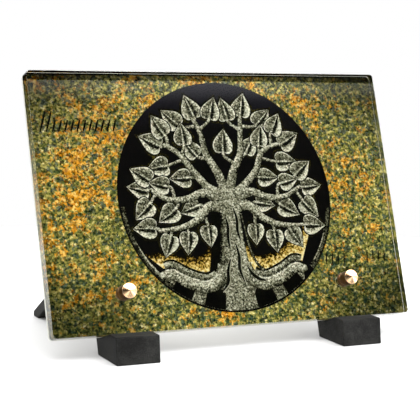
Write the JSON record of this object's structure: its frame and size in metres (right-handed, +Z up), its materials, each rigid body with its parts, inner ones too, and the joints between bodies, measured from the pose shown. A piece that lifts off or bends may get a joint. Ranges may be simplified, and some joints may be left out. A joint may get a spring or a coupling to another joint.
{
  "type": "commemorative plaque",
  "caption": "Clear glass plate over a printed tree-of-life picture, leaning back on black moulded feet with rear struts and held by copper-coloured screws with loose collars.",
  "frame": {"origin": "on the floor, below the middle of the plaque's box", "axes": "+X to the viewer's right along the plate, +Y from the front to the rear, +Z up"},
  "size_m": [0.3, 0.1869, 0.2058],
  "materials": {
    "clear_glass": "polished, clear, with finely ground edges",
    "printed_sheet": "white sheet with a matt colour print on its front",
    "black_moulding": "satin black, slightly worn edges",
    "copper_finish": "turned and polished, copper coloured"
  },
  "bodies": {
    "root": {"glass_plate": "clear_glass", "printed_backing": "printed_sheet", "left_foot": "black_moulding", "right_foot": "black_moulding", "left_collar": "copper_finish", "right_collar": "copper_finish", "left_screw": "copper_finish", "right_screw": "copper_finish"}
  },
  "joints": []
}
